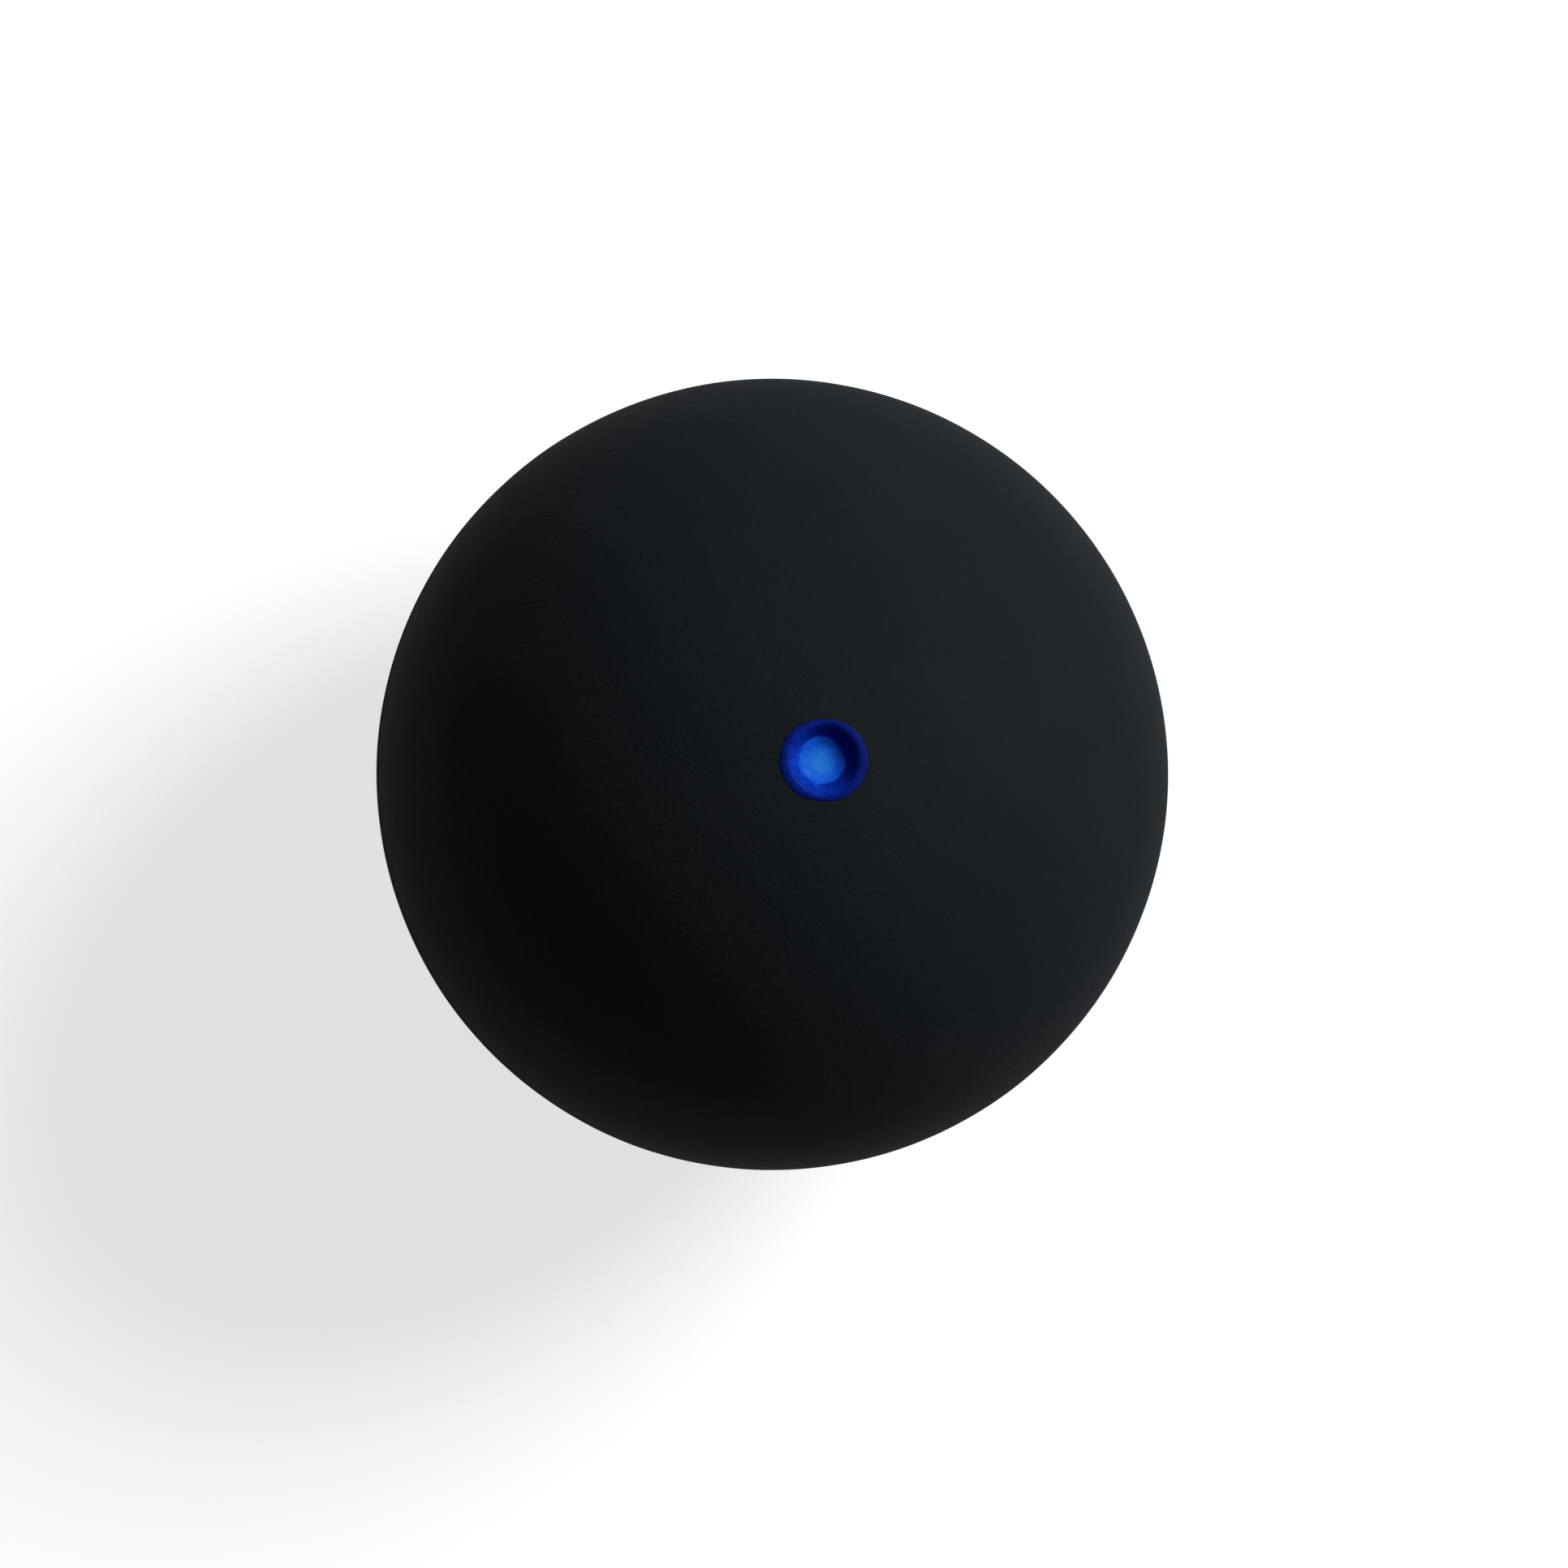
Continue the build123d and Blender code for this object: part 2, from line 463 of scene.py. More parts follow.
def capped_mesh(name, rows, patches):
    """A closed mesh from rows of places whose first and last row are poles, mapped in discs.

    Each patch is (first row, last row, middle, radii) and gives its rows a disc on the map.
    """
    last = len(rows) - 1
    columns = rows.shape[1]
    inner = rows[1:last].reshape(-1, 3)
    places = np.vstack((inner, rows[0, :1], rows[last, :1]))
    first_pole = len(inner)

    def vertex(row, column):
        """Number of the vertex at a row and column."""
        if row == 0:
            return first_pole
        if row == last:
            return first_pole + 1
        return (row - 1) * columns + column % columns

    faces = []
    spots = []
    for start, finish, middle, radii in patches:
        radius_of = dict(zip(range(start, finish + 1), radii))
        for row in range(start, finish):
            for column in range(columns):
                below, beside = row + 1, column + 1
                corners = [(row, column), (below, column), (below, beside), (row, beside)]
                if row == 0:
                    corners = corners[:3]
                elif below == last:
                    corners = [corners[0], corners[1], corners[3]]
                faces.append([vertex(*corner) for corner in corners])
                for corner_row, corner_column in corners:
                    radius = radius_of[corner_row]
                    turn = corner_column * 2 * math.pi / columns
                    across = middle[0] + radius * math.cos(turn)
                    up = middle[1] + radius * math.sin(turn)
                    spots.append((across, up))
    return finished_mesh(name, places, faces, spots)


def ring_mesh(name, rows, face_rows):
    """A closed ring from rows of places that loop round its section, mapped as one strip."""
    count, columns = rows.shape[:2]
    face_heights = np.linspace(0.0, FACE_SHARE, face_rows, endpoint=False)
    other_heights = np.linspace(FACE_SHARE, 1.0, count - face_rows + 1)
    heights = np.concatenate((face_heights, other_heights))
    faces = []
    spots = []
    for row in range(count):
        below = (row + 1) % count
        for column in range(columns):
            beside = (column + 1) % columns
            corners = ((row, column), (below, column), (below, beside), (row, beside))
            faces.append([at_row * columns + at_column for at_row, at_column in corners])
            left = column / columns
            right = (column + 1) / columns
            spots += [
                (left, heights[row]),
                (left, heights[row + 1]),
                (right, heights[row + 1]),
                (right, heights[row]),
            ]
    return finished_mesh(name, rows.reshape(-1, 3), faces, spots)


def finished_mesh(name, places, faces, spots):
    """A smooth-shaded mesh object in the scene, with its map."""
    mesh = bpy.data.meshes.new(name)
    mesh.from_pydata(places.tolist(), [], faces)
    bake_map = mesh.uv_layers.new(name=BAKE_MAP)
    bake_map.uv.foreach_set("vector", np.array(spots, np.float32).ravel())
    mesh.polygons.foreach_set("use_smooth", np.ones(len(faces), bool))
    if mesh.validate():
        raise RuntimeError(f"{name} has faces that can't be kept")
    mesh.update()
    piece = bpy.data.objects.new(name, mesh)
    bpy.context.scene.collection.objects.link(piece)
    return piece


def dress(piece, node, material):
    """Hang a piece on the ball in place of its CAD node, with its material."""
    piece.data.materials.append(material)
    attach(piece, BODY)
    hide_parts(node)


# Wear: what mould, hand and use leave on the rows of a mesh

SWELL_SEED = 3.1
PEBBLE_SEED = 11.7
LAP_SEED = 5.3
POOL_SEED = 8.9
CEMENT_SEED = 2.7
SEAM_SEED = 6.1
SEED_SPREAD = (1.0, 2.3, 3.7)  # how far a seed moves the noise along X, Y and Z
SKIN = 0.2 * MM  # depth at which wear of the skin has died away
SEAM_REACH = 4 * OUTSIDE_STEP  # distance at which the sway of the seam has died away
WALL_START, WALL_FADE = 0.7, 0.3  # where the wall's paint sets in, in radii of the dimple's floor
POOL_EVEN, POOL_FADE = 0.6, 0.4  # where the pool's ripples die away, in the same radii
CLIMB_FADE = 2  # height in which the pool's uneven edge dies away, in rises of the meniscus
FILM_REACH = 2  # how far out the rubber under the film is drawn, in radii of the dimple's mouth
BEAD_MARGIN = 0.125  # how much of the inner bevel wanders with the bead
BEAD_WANDER = 3.0  # how much of the cement's wander the bead has
FACE_WANDER = 0.5  # how much of it the outer face has


def eased(value):
    """A smooth step from 0 to 1."""
    held = np.clip(value, 0.0, 1.0)
    return held * held * (3.0 - 2.0 * held)


def rough_at(places, width, seed):
    """Smooth noise from about -1 to 1 at each place, with bumps of about this width."""
    offset = Vector([part * seed for part in SEED_SPREAD])
    flat = places.reshape(-1, 3)
    values = [noise.noise(Vector(place) / width + offset) for place in flat]
    return np.array(values).reshape(places.shape[:-1])


def widest_lap(paint):
    """How far from the axis the uneven lap can reach."""
    return paint.lap_radius + paint.lap_oval + paint.lap_shift + paint.lap_wander


def wear_skin(rows, shell, paint):
    """Give the ball's skin its mould swell, fine pebble, ground band and uneven seam, in place."""
    skin = eased((np.linalg.norm(rows, axis=-1) - shell.radius + SKIN) / SKIN)
    worn = skin > 0
    places = rows[worn]
    outward = places / np.linalg.norm(places, axis=-1, keepdims=True)
    reach = np.hypot(places[:, 0], places[:, 1])
    height = np.abs(places[:, 2])
    dot_radius = widest_lap(paint)
    clear_of_dot = np.where(places[:, 2] > 0, eased((reach - dot_radius) / dot_radius), 1.0)
    swell = shell.swell * rough_at(places, shell.swell_width, SWELL_SEED)
    pebble = shell.pebble * rough_at(places, shell.pebble_width, PEBBLE_SEED)
    ground = shell.buff_depth * (1.0 - eased(height / shell.buff_width))
    lift = (swell + pebble - ground) * clear_of_dot * skin[worn]
    edge = shell.rim_height + shell.rim_break
    near_seam = 1.0 - eased((height - edge) / SEAM_REACH)
    near_skin = np.clip((reach - shell.radius + shell.rim_break) / shell.rim_break, 0.0, 1.0)
    side = np.clip(places[:, 2] / edge, -1.0, 1.0)
    level = np.column_stack((places[:, :2], np.sign(side) * shell.radius))
    sway = rough_at(level, shell.seam_sway_width, SEAM_SEED)
    rows[worn] = places + outward * lift[:, None]
    rows[worn, 2] += shell.seam_sway * sway * near_seam * near_skin * side


def wander_cement(rows, section, face_rows, shell, cement):
    """Let the cement's outer face and its bead run unevenly, in place."""
    outward = rows * (1.0, 1.0, 0.0)
    outward /= np.linalg.norm(outward, axis=-1, keepdims=True)
    uneven = rough_at(rows, cement.wander_width, CEMENT_SEED)
    in_bead = section[:, 0] < cavity_radius(shell) + BEAD_MARGIN * shell.rim_bevel
    depth = np.zeros(len(section))
    depth[in_bead] = BEAD_WANDER * cement.wander
    depth[1:face_rows] = FACE_WANDER * cement.wander
    rows += outward * (uneven * depth[:, None])[..., None]


def sag_paint(rows, section, top_rows, shell, paint):
    """Thicken the paint where it sagged and drained, and thin it across from there, in place."""
    top = section[:top_rows]
    along = np.gradient(top, axis=0)
    outward = np.column_stack((-along[:, 1], along[:, 0]))
    outward /= np.linalg.norm(outward, axis=1, keepdims=True)
    turns = turns_of(rows.shape[1])
    side = np.cos(turns - paint.sag_turn)
    past_pool = top[:, 0] - WALL_START * shell.floor_radius
    on_wall = eased(past_pool / (WALL_FADE * shell.floor_radius))
    off_edge = eased((paint.lap_radius - top[:, 0]) / (paint.lap_radius - shell.mouth_radius))
    low = pool_height(shell, paint)
    rise = eased((top[:, 1] - low) / (shell.radius - low))
    lift = paint.sag * (on_wall * off_edge)[:, None] * side
    lift += paint.drain * (on_wall * (1.0 - rise))[:, None]
    rows[:top_rows, :, 0] += lift * outward[:, 0, None] * np.cos(turns)
    rows[:top_rows, :, 1] += lift * outward[:, 0, None] * np.sin(turns)
    rows[:top_rows, :, 2] += lift * outward[:, 1, None]


def ripple_pool(rows, section, top_rows, shell, paint):
    """Leave the dried pool and its edge on the wall a little uneven, in place."""
    reach, height = section[:top_rows].T
    past_even = reach - POOL_EVEN * shell.floor_radius
    inside = 1.0 - eased(past_even / (POOL_FADE * shell.floor_radius))
    uneven = rough_at(rows[:top_rows], paint.ripple_width, POOL_SEED)
    rows[:top_rows, :, 2] += paint.ripple * uneven * inside[:, None]
    rows[0, :, 2] = rows[0, 0, 2]
    edge = pool_height(shell, paint) + paint.meniscus
    at_edge = (1.0 - inside) * (1.0 - eased((height - edge) / (CLIMB_FADE * paint.meniscus)))
    circle = turned(np.array(((shell.mouth_radius, 0.0),)), rows.shape[1])[0]
    run = shell.mouth_radius - shell.floor_radius
    slope = np.array((run, shell.radius - shell.floor_height))
    slope /= np.linalg.norm(slope)
    climb = paint.ripple * rough_at(circle, paint.ripple_width, POOL_SEED) * at_edge[:, None]
    outward = circle[:, :2] / shell.mouth_radius
    rows[:top_rows, :, :2] += climb[..., None] * slope[0] * outward
    rows[:top_rows, :, 2] += climb * slope[1]


def wander_lap(rows, section, shell, paint):
    """Let the lap's edge run out unevenly over the ball, in place."""
    start = shell.mouth_radius + shell.lip_radius / 2
    moved = section[:, 0] > start
    amount = eased((section[moved, 0] - start) / (paint.lap_radius - start))
    edge = turned(np.array(((paint.lap_radius, shell.radius),)), rows.shape[1])[0]
    turns = np.arctan2(edge[:, 1], edge[:, 0])
    outline = paint.lap_wander * rough_at(edge, paint.wander_width, LAP_SEED)
    oval = paint.lap_oval * np.cos(2 * turns)
    outline += oval + paint.lap_shift * np.cos(turns - paint.shift_turn)
    growth = 1.0 + amount[:, None] * outline / paint.lap_radius
    lap = rows[moved]
    far = np.linalg.norm(lap, axis=-1)
    lap[..., 0] *= growth
    lap[..., 1] *= growth
    lap[..., 2] = np.sqrt(far**2 - lap[..., 0] ** 2 - lap[..., 1] ** 2)
    rows[moved] = lap


def mark_film(mesh, shell):
    """Note at each point of the paint how thickly it lies over the rubber."""
    dimple, lip_end = dimple_line(shell)
    past_lap = on_ball(shell.radius, FILM_REACH * shell.mouth_radius)
    under = np.vstack((dimple, sphere_run(shell.radius, lip_end, past_lap, FINE), past_lap))
    places = np.empty(3 * len(mesh.vertices))
    mesh.vertices.foreach_get("co", places)
    places = places.reshape(-1, 3)
    points = np.column_stack((np.hypot(places[:, 0], places[:, 1]), places[:, 2]))
    starts, runs = under[:-1], np.diff(under, axis=0)
    along = np.einsum("psk,sk->ps", points[:, None] - starts, runs) / (runs**2).sum(axis=1)
    nearest = starts + np.clip(along, 0.0, 1.0)[..., None] * runs
    depth = np.linalg.norm(points[:, None] - nearest, axis=-1).min(axis=1)
    film = mesh.attributes.new(FILM, "FLOAT", "POINT")
    film.data.foreach_set("value", depth.astype(np.float32))


# Materials

# Numbers of a Mix node's two inputs and of its output, for each kind of value
MIX_SOCKETS = {"FLOAT": (2, 3, 0), "RGBA": (6, 7, 2)}
MOST_NOISE = (0.3, 0.7)  # the range that noise seldom leaves

# Rubber: widths and depths of its patterns, the noise that shows of each, and shares
BLOTCH_WIDTH = 7.0 * MM
BLOTCH_RANGE = (0.35, 0.65)
BLOTCH_SHARE = 0.5
SPECK_WIDTH = 0.22 * MM
SPECK_RANGE = (0.60, 0.78)
SPECK_SHARE = 0.5
GRAIN_WIDTH = 0.11 * MM
GRAIN_DEPTH = 0.036 * MM
PORE_WIDTH = 0.45 * MM
PORE_DEPTH = 0.030 * MM
BAND_RAG_WIDTH = 1.5 * MM
SCRATCH_SIZE = (2.5 * MM, 2.5 * MM, 0.05 * MM)
SCRATCH_RANGE = (0.4, 0.7)
SCRATCH_DEPTH = 0.008 * MM
SCUFF_SHARE = 0.7
RUBBER_ROUGH_RANGE = (0.3, 1.2)
RUBBER_ROUGH_SPREAD = (-0.08, 0.12)

# Cement: widths and depths of its lumps and crust, and how pale and rough they are
LUMP_WIDTH = 0.6 * MM
LUMP_DEPTH = 0.03 * MM
LUMP_PALER = 1.5
CRUST_WIDTH = 0.12 * MM
CRUST_DEPTH = 0.01 * MM
CRUST_ROUGH = (0.42, 0.62)

# Paint: widths and depths of its dabs and pigment, and what noise and share of them shows
DAB_WIDTH = 0.55 * MM
DAB_DEPTH = 0.02 * MM
DAB_FILM = (0.85, 1.15)
PIGMENT_WIDTH = 0.07 * MM
PIGMENT_DEPTH = 0.003 * MM
FLECK_RANGE = (0.45, 0.75)
FLECK_SHARE = 0.10
# Raggedness of the paler patch of paint near the pool's middle
PALE_PATCH_RAG_WIDTH = 0.5 * MM
PALE_PATCH_RAG = 0.4
PAINT_ROUGH_SPREAD = (-0.08, 0.10)
# Shares of the pool's depth at which the paint has its edge colour and its full colour
EDGE_FILM = 0.04
FULL_FILM = 0.92

# Paper: width and shade of its fibres, its roughness and its gloss
FIBRE_WIDTH = 0.8 * MM
FIBRE_SHADE = 0.99
PAPER_ROUGH = 0.9
PAPER_GLOSS = 0.1

# Surroundings: sines of the heights between which white fades to the ceiling
DOME_RANGE = (0.35, 0.8)


class Sheet:
    """A node sheet of a material or world, with short calls for the nodes that the looks use."""

    def __init__(self, holder, shader="Principled BSDF", coordinate="Object"):
        holder.use_nodes = True
        self.holder = holder
        self.nodes = holder.node_tree.nodes
        self.links = holder.node_tree.links
        self.shader = self.nodes[shader]
        self.place = self.node("ShaderNodeTexCoord").outputs[coordinate]

    def node(self, kind, **settings):
        """A new node of this kind, with these settings."""
        made = self.nodes.new(kind)
        for key, value in settings.items():
            setattr(made, key, value)
        return made

    def feed(self, socket, value):
        """Give a socket another socket's value, a number or a colour."""
        if isinstance(value, bpy.types.NodeSocket):
            self.links.new(value, socket)
        elif isinstance(value, float):
            socket.default_value = value
        else:
            socket.default_value = (*value, 1.0)

    def shade(self, **values):
        """Feed the shader's sockets, named with underscores for spaces, and return the holder."""
        for key, value in values.items():
            self.feed(self.shader.inputs[key.replace("_", " ")], value)
        return self.holder

    def grain(self, width, detail, place=None):
        """Noise with grains of about this width, from 0 to 1."""
        made = self.node("ShaderNodeTexNoise")
        self.feed(made.inputs["Scale"], 1.0 / width)
        self.feed(made.inputs["Detail"], detail)
        self.feed(made.inputs["Vector"], place or self.place)
        return made.outputs["Fac"]

    def spread(self, value, limits, onto=(0.0, 1.0)):
        """A value's range stretched onto another, eased and held at its ends."""
        made = self.node("ShaderNodeMapRange", interpolation_type="SMOOTHSTEP")
        for key, number in zip(("From Min", "From Max", "To Min", "To Max"), (*limits, *onto)):
            self.feed(made.inputs[key], number)
        self.feed(made.inputs["Value"], value)
        return made.outputs["Result"]

    def work(self, operation, *values):
        """Arithmetic on one or two values, which may be sockets or numbers."""
        made = self.node("ShaderNodeMath", operation=operation)
        for socket, value in zip(made.inputs, values):
            self.feed(socket, value)
        return made.outputs["Value"]

    def mix(self, amount, first, second, kind="RGBA"):
        """A colour or number between two, which may be sockets too."""
        made = self.node("ShaderNodeMix", data_type=kind)
        first_socket, second_socket, result = MIX_SOCKETS[kind]
        self.feed(made.inputs["Factor"], amount)
        self.feed(made.inputs[first_socket], first)
        self.feed(made.inputs[second_socket], second)
        return made.outputs[result]

    def bumps(self, *layers):
        """A normal from a chain of bump layers of (height, depth in metres)."""
        normal = None
        for height, depth in layers:
            made = self.node("ShaderNodeBump")
            self.feed(made.inputs["Distance"], depth)
            self.feed(made.inputs["Height"], height)
            if normal:
                self.feed(made.inputs["Normal"], normal)
            normal = made.outputs["Normal"]
        return normal

    def height(self):
        """How high each place lies."""
        parts = self.node("ShaderNodeSeparateXYZ")
        self.feed(parts.inputs["Vector"], self.place)
        return parts.outputs["Z"]

    def seen_rays(self):
        """One for rays that the view, a reflection or a clear surface sends, and else zero."""
        path = self.node("ShaderNodeLightPath").outputs
        glossy = self.work("MAXIMUM", path["Is Camera Ray"], path["Is Glossy Ray"])
        return self.work("MAXIMUM", glossy, path["Is Transmission Ray"])


def around(mean, parts):
    """A mean with each of these parts added."""
    return [mean + part for part in parts]


def rubber_material(finish, shell):
    """Matte black rubber: blotchy bloom, fine tumbled grain and a scuffed band at the seam."""
    sheet = Sheet(bpy.data.materials.new("matte_black_rubber"))
    blotches = sheet.spread(sheet.grain(BLOTCH_WIDTH, detail=3.0), BLOTCH_RANGE)
    specks = sheet.spread(sheet.grain(SPECK_WIDTH, detail=1.0), SPECK_RANGE)
    grain = sheet.grain(GRAIN_WIDTH, detail=2.0)
    pores = sheet.grain(PORE_WIDTH, detail=2.0)

    off_seam = sheet.work("ABSOLUTE", sheet.height())
    ragged = sheet.work("MULTIPLY", sheet.grain(BAND_RAG_WIDTH, detail=3.0), shell.buff_width)
    off_band = sheet.work("SUBTRACT", off_seam, ragged)
    band = sheet.spread(off_band, (0.0, shell.buff_width), (1.0, 0.0))
    stretch = sheet.node("ShaderNodeMapping", vector_type="TEXTURE")
    stretch.inputs["Scale"].default_value = SCRATCH_SIZE
    sheet.feed(stretch.inputs["Vector"], sheet.place)
    streaks = sheet.grain(1.0, detail=2.0, place=stretch.outputs["Vector"])
    scratches = sheet.work("MULTIPLY", band, sheet.spread(streaks, SCRATCH_RANGE))

    blotched = sheet.work("MULTIPLY", blotches, BLOTCH_SHARE)
    bloom = sheet.work("ADD", blotched, sheet.work("MULTIPLY", specks, SPECK_SHARE))
    skin = sheet.mix(bloom, finish.rubber, finish.rubber_bloom)
    scuffs = sheet.work("MULTIPLY", scratches, SCUFF_SHARE)
    uneven = sheet.work("ADD", grain, scratches)
    rough = around(finish.rubber_rough, RUBBER_ROUGH_SPREAD)
    return sheet.shade(
        Base_Color=sheet.mix(scuffs, skin, finish.rubber_scuffed),
        Roughness=sheet.spread(uneven, RUBBER_ROUGH_RANGE, rough),
        Specular_IOR_Level=finish.rubber_gloss,
        Normal=sheet.bumps((grain, GRAIN_DEPTH), (pores, PORE_DEPTH), (scratches, SCRATCH_DEPTH)),
    )


def cement_material(finish):
    """Dried rubber cement: dark, slightly shiny and lumpy."""
    sheet = Sheet(bpy.data.materials.new("dried_rubber_cement"))
    lumps = sheet.grain(LUMP_WIDTH, detail=3.0)
    crust = sheet.grain(CRUST_WIDTH, detail=2.0)
    pale = [LUMP_PALER * part for part in finish.cement]
    return sheet.shade(
        Base_Color=sheet.mix(lumps, finish.cement, pale),
        Roughness=sheet.spread(crust, MOST_NOISE, CRUST_ROUGH),
        Specular_IOR_Level=finish.cement_gloss,
        Normal=sheet.bumps((lumps, LUMP_DEPTH), (crust, CRUST_DEPTH)),
    )


def paint_material(finish, paint, shell):
    """Blue paint: bright where it pooled, navy where the black shows through a thin film."""
    sheet = Sheet(bpy.data.materials.new("daubed_blue_paint"))
    film = sheet.node("ShaderNodeAttribute", attribute_name=FILM).outputs["Fac"]
    dabs = sheet.grain(DAB_WIDTH, detail=2.0)
    pigment = sheet.grain(PIGMENT_WIDTH, detail=2.0)
    uneven = sheet.work("MULTIPLY", film, sheet.spread(dabs, MOST_NOISE, DAB_FILM))
    tint = sheet.node("ShaderNodeValToRGB")
    sheet.feed(tint.inputs["Fac"], sheet.work("DIVIDE", uneven, paint.pool))
    thin = paint.film / paint.pool
    stops = tint.color_ramp.elements
    stops[0].position = EDGE_FILM
    stops[0].color = (*finish.paint_edge, 1.0)
    stops[1].position = FULL_FILM
    stops[1].color = (*finish.paint, 1.0)
    stops.new(thin).color = (*finish.thin_paint, 1.0)
    stops.new((1.0 + thin) / 2).color = (*finish.deep_paint, 1.0)

    # Paler blue paint in a ragged round patch that lies a little off the pool's middle
    reach = sheet.node("ShaderNodeVectorMath", operation="DISTANCE")
    sheet.feed(reach.inputs[0], sheet.place)
    reach.inputs[1].default_value = (
        paint.pale_patch_off * math.cos(paint.pale_patch_turn),
        paint.pale_patch_off * math.sin(paint.pale_patch_turn),
        pool_height(shell, paint),
    )
    rag = PALE_PATCH_RAG * paint.pale_patch_radius
    ragged = sheet.work("MULTIPLY", sheet.grain(PALE_PATCH_RAG_WIDTH, detail=1.0), rag)
    off_middle = sheet.work("ADD", reach.outputs["Value"], ragged)
    limits = (rag / 2, paint.pale_patch_radius + rag / 2)
    paled = sheet.spread(off_middle, limits, (1.0, 0.0))
    pooled = sheet.mix(paled, tint.outputs["Color"], finish.paint_pale)
    flecks = sheet.spread(pigment, FLECK_RANGE, (0.0, FLECK_SHARE))
    rough = around(finish.paint_rough, PAINT_ROUGH_SPREAD)
    return sheet.shade(
        Base_Color=sheet.mix(flecks, pooled, finish.thin_paint),
        Roughness=sheet.spread(dabs, MOST_NOISE, rough),
        Specular_IOR_Level=finish.paint_gloss,
        Normal=sheet.bumps((dabs, DAB_DEPTH), (pigment, PIGMENT_DEPTH)),
    )


def floor_material(studio):
    """White paper: it takes the ball's shadow, and the view lifts it to white."""
    sheet = Sheet(bpy.data.materials.new("white_paper_floor"))
    fibre = sheet.grain(FIBRE_WIDTH, detail=4.0)
    white = (studio.floor_white,) * 3
    fibre_white = (studio.floor_white * FIBRE_SHADE,) * 3
    bounce = (studio.floor_bounce,) * 3
    seen = sheet.seen_rays()
    return sheet.shade(
        Base_Color=sheet.mix(seen, bounce, sheet.mix(fibre, white, fibre_white)),
        Roughness=PAPER_ROUGH,
        Specular_IOR_Level=PAPER_GLOSS,
        Emission_Color=WHITE,
        Emission_Strength=sheet.work("MULTIPLY", seen, studio.floor_lift),
    )


# Operators


def add_half_shell(ball, name, node, section, patches):
    """Turn a half shell's section, wear its skin and dress it in rubber."""
    rows = turned(section, SHELL_COLUMNS)
    wear_skin(rows, ball.shell, ball.paint)
    piece = capped_mesh(name, rows, patches)
    dress(piece, node, rubber_material(ball.finish, ball.shell))


class SQUASH_BALL_OT_upper_shell(bpy.types.Operator):
    """Add the upper half shell, with the dimple in its pole"""

    bl_idname = "squash_ball.upper_shell"
    bl_label = "Add Upper Shell"

    def execute(self, context):
        ball = context.scene.squash_ball
        section, outside_end = upper_section(ball.shell)
        patches = two_discs(section, outside_end, MAIN_DISC, SMALL_DISC)
        add_half_shell(ball, "upper_shell", "dotted_half_shell", section, patches)
        return {"FINISHED"}


class SQUASH_BALL_OT_lower_shell(bpy.types.Operator):
    """Add the lower half shell, plain all over"""

    bl_idname = "squash_ball.lower_shell"
    bl_label = "Add Lower Shell"

    def execute(self, context):
        ball = context.scene.squash_ball
        section, outside_start = lower_section(ball.shell)
        patches = two_discs(section, outside_start, SMALL_DISC, MAIN_DISC)
        add_half_shell(ball, "lower_shell", "plain_half_shell", section, patches)
        return {"FINISHED"}


class SQUASH_BALL_OT_cement_ring(bpy.types.Operator):
    """Add the cement between the rims, with its uneven bead inside"""

    bl_idname = "squash_ball.cement_ring"
    bl_label = "Add Cement Ring"

    def execute(self, context):
        ball = context.scene.squash_ball
        section, face_rows = cement_section(ball.shell, ball.cement)
        rows = turned(section, SHELL_COLUMNS)
        wander_cement(rows, section, face_rows, ball.shell, ball.cement)
        wear_skin(rows, ball.shell, ball.paint)
        piece = ring_mesh("cement_ring", rows, face_rows)
        dress(piece, "seam_cement", cement_material(ball.finish))
        return {"FINISHED"}


class SQUASH_BALL_OT_paint_dot(bpy.types.Operator):
    """Add the paint daub in the dimple, with its pool and uneven lap"""

    bl_idname = "squash_ball.paint_dot"
    bl_label = "Add Paint Dot"

    def execute(self, context):
        ball = context.scene.squash_ball
        shell, paint = ball.shell, ball.paint
        section, top_rows = paint_section(shell, paint)
        rows = turned(section, PAINT_COLUMNS)
        sag_paint(rows, section, top_rows, shell, paint)
        ripple_pool(rows, section, top_rows, shell, paint)
        wander_lap(rows, section, shell, paint)
        piece = capped_mesh("paint_dot", rows, two_discs(section, top_rows, MAIN_DISC, SMALL_DISC))
        mark_film(piece.data, shell)
        dress(piece, "dot_paint", paint_material(ball.finish, paint, shell))
        return {"FINISHED"}


def turned_to(right, up, back, place):
    """A matrix with these axes at this place."""
    turn = Matrix((right, up, back)).transposed().to_4x4()
    return Matrix.Translation(place) @ turn


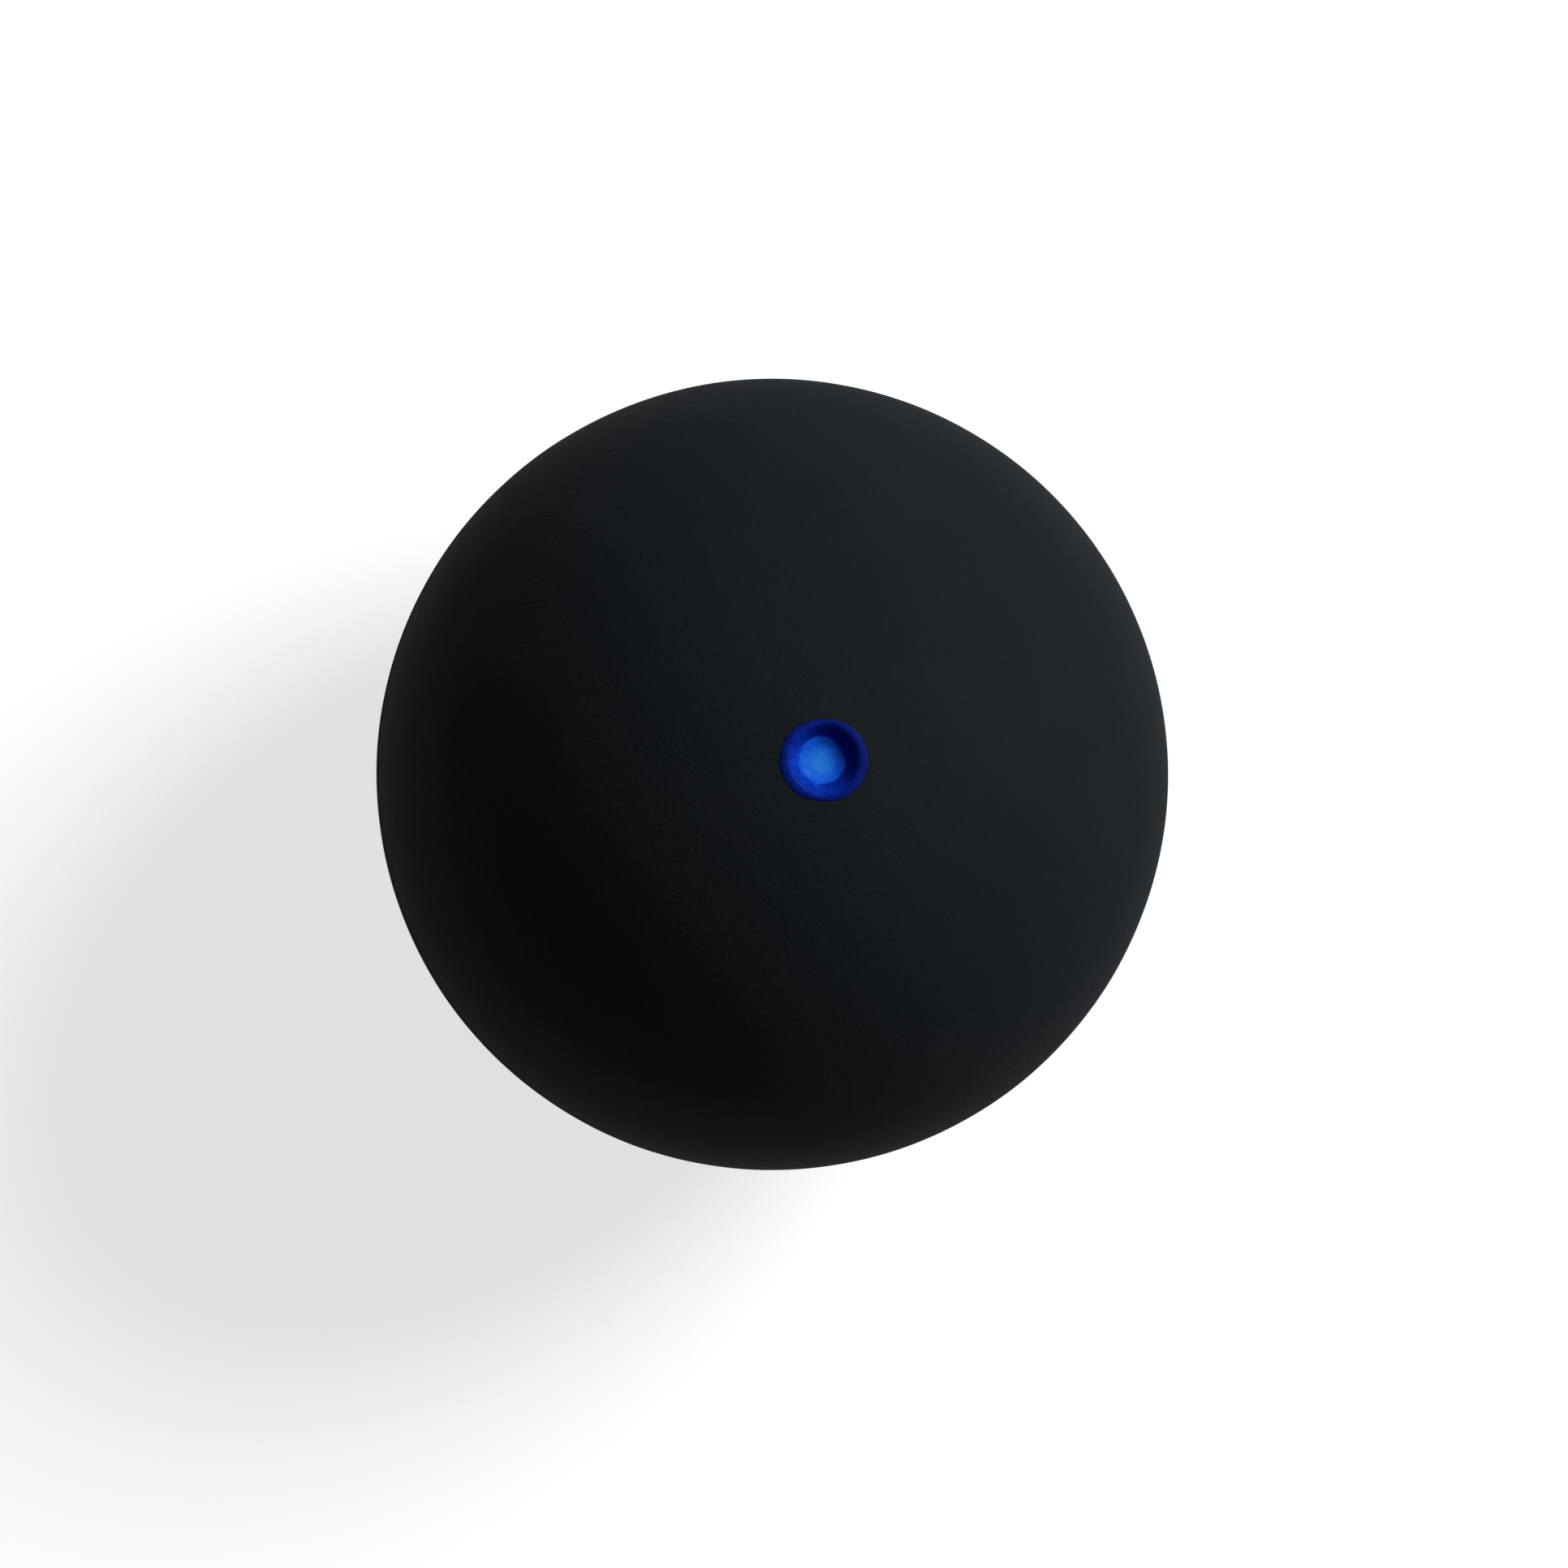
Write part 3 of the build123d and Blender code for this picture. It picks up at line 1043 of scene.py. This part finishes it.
class SQUASH_BALL_OT_stage(bpy.types.Operator):
    """Add the floor, the lamp, the white surroundings and the camera"""

    bl_idname = "squash_ball.stage"
    bl_label = "Add Stage"

    def execute(self, context):
        scene = context.scene
        ball = scene.squash_ball
        self.add_floor(scene, ball)
        self.light_world(scene, ball.studio)
        camera = self.add_camera(scene, ball)
        self.add_key(scene, camera, ball.studio)
        scene.view_settings.view_transform = "Standard"
        return {"FINISHED"}

    def add_floor(self, scene, ball):
        """A sheet of white paper under the ball."""
        half = ball.studio.floor_side / 2
        low = -ball.shell.radius
        mesh = bpy.data.meshes.new("floor")
        corners = [(-half, -half, low), (half, -half, low), (half, half, low), (-half, half, low)]
        mesh.from_pydata(corners, [], [(0, 1, 2, 3)])
        mesh.materials.append(floor_material(ball.studio))
        floor = bpy.data.objects.new("floor", mesh)
        scene.collection.objects.link(floor)

    def light_world(self, scene, studio):
        """Dim fill for the surfaces, and a white horizon under a dark ceiling for the view."""
        sheet = Sheet(bpy.data.worlds.new("white_studio"), "Background", "Generated")
        dome = sheet.spread(sheet.height(), DOME_RANGE, (1.0, studio.ceiling))
        strength = sheet.mix(sheet.seen_rays(), studio.fill, dome, kind="FLOAT")
        scene.world = sheet.shade(Strength=strength, Color=WHITE)

    def add_camera(self, scene, ball):
        """Look down on the dimple as the photograph does, with the ball where it lies there."""
        studio = ball.studio
        lean, turn = studio.camera_tilt, studio.camera_turn
        sideways = Vector((math.cos(turn), math.sin(turn), 0.0)) * -math.sin(lean)
        back = sideways + Vector((0.0, 0.0, math.cos(lean)))
        up = (Vector((0.0, 1.0, 0.0)) - back * back.y).normalized()
        right = up.cross(back)
        pixel = 2 * ball.shell.radius / studio.ball_pixels
        off_right = PHOTO_SIDE / 2 - studio.ball_across
        off_down = PHOTO_SIDE / 2 - studio.ball_down
        aim = (right * off_right - up * off_down) * pixel
        data = bpy.data.cameras.new("camera")
        data.lens = data.sensor_width * studio.camera_distance / (PHOTO_SIDE * pixel)
        data.clip_start = ball.shell.radius
        camera = bpy.data.objects.new("camera", data)
        camera.rotation_mode = "QUATERNION"
        camera.matrix_world = turned_to(right, up, back, aim + back * studio.camera_distance)
        scene.collection.objects.link(camera)
        scene.camera = camera
        return camera

    def add_key(self, scene, camera, studio):
        """A round soft lamp up and to the right of the view."""
        off, turn = studio.key_off_axis, studio.key_turn
        aside = math.sin(off)
        from_view = Vector((aside * math.cos(turn), aside * math.sin(turn), math.cos(off)))
        toward = camera.matrix_world.to_3x3() @ from_view
        data = bpy.data.lights.new("key_lamp", "AREA")
        data.shape = "DISK"
        data.size = studio.key_width
        data.energy = studio.key_power
        lamp = bpy.data.objects.new("key_lamp", data)
        lamp.location = toward * studio.key_distance
        lamp.rotation_mode = "QUATERNION"
        lamp.rotation_quaternion = (-toward).to_track_quat("-Z", "Y")
        scene.collection.objects.link(lamp)


class SQUASH_BALL_PT_sidebar(bpy.types.Panel):
    """The ball's pieces and settings"""

    bl_label = "Squash Ball"
    bl_space_type = "VIEW_3D"
    bl_region_type = "UI"
    bl_category = "Squash Ball"

    def draw(self, context):
        for operator in OPERATORS:
            self.layout.operator(operator.bl_idname)
        ball = context.scene.squash_ball
        for group in (ball.shell, ball.paint, ball.cement, ball.finish, ball.studio):
            box = self.layout.box()
            for key in group.bl_rna.properties.keys():
                if key not in ("rna_type", "name"):
                    box.prop(group, key)


OPERATORS = (
    SQUASH_BALL_OT_upper_shell,
    SQUASH_BALL_OT_lower_shell,
    SQUASH_BALL_OT_cement_ring,
    SQUASH_BALL_OT_paint_dot,
    SQUASH_BALL_OT_stage,
)
CLASSES = (
    ShellSizes,
    PaintSizes,
    CementSizes,
    Finishes,
    StudioSettings,
    BallSettings,
    *OPERATORS,
    SQUASH_BALL_PT_sidebar,
)


def register():
    """Make the classes and the scene's settings known."""
    for each in CLASSES:
        bpy.utils.register_class(each)
    bpy.types.Scene.squash_ball = bpy.props.PointerProperty(type=BallSettings)


def unregister():
    """Take them away again."""
    del bpy.types.Scene.squash_ball
    for each in reversed(CLASSES):
        bpy.utils.unregister_class(each)


def main():
    register()
    bpy.ops.squash_ball.upper_shell()
    bpy.ops.squash_ball.lower_shell()
    bpy.ops.squash_ball.cement_ring()
    bpy.ops.squash_ball.paint_dot()
    bpy.ops.squash_ball.stage()


if __name__ == "__main__":
    main()
